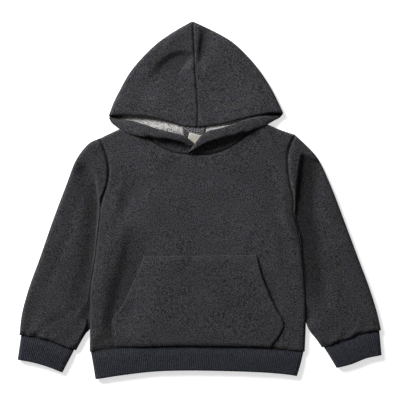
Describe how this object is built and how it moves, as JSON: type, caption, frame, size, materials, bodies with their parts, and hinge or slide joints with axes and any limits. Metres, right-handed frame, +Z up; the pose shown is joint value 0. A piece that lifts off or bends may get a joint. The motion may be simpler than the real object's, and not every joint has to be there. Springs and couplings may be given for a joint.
{
  "type": "toddler hoodie",
  "caption": "Toddler's pullover hoodie in charcoal fleece, laid flat: two-panel hood spread above it, kangaroo pocket, long set-in sleeves, ribbed cuffs and hem.",
  "frame": {"origin": "on the table, below the middle of the garment's box", "axes": "+Z up from the table, +Y up the garment to the hood's peak, +X towards the wearer's left sleeve"},
  "size_m": [0.5816, 0.5712, 0.02],
  "materials": {
    "fleece": "charcoal heather loopback fleece, light grey loops inside",
    "rib": "charcoal one-by-one rib knit",
    "label": "cream woven tape, bare"
  },
  "bodies": {
    "root": {"body_back": "fleece", "body_front": "fleece", "pocket": "fleece", "hem_rib": "rib", "sleeve_right": "fleece", "cuff_right": "rib", "hood_right": "fleece", "sleeve_left": "fleece", "cuff_left": "rib", "hood_left": "fleece", "neck_facing": "fleece", "neck_label": "label"}
  },
  "joints": []
}
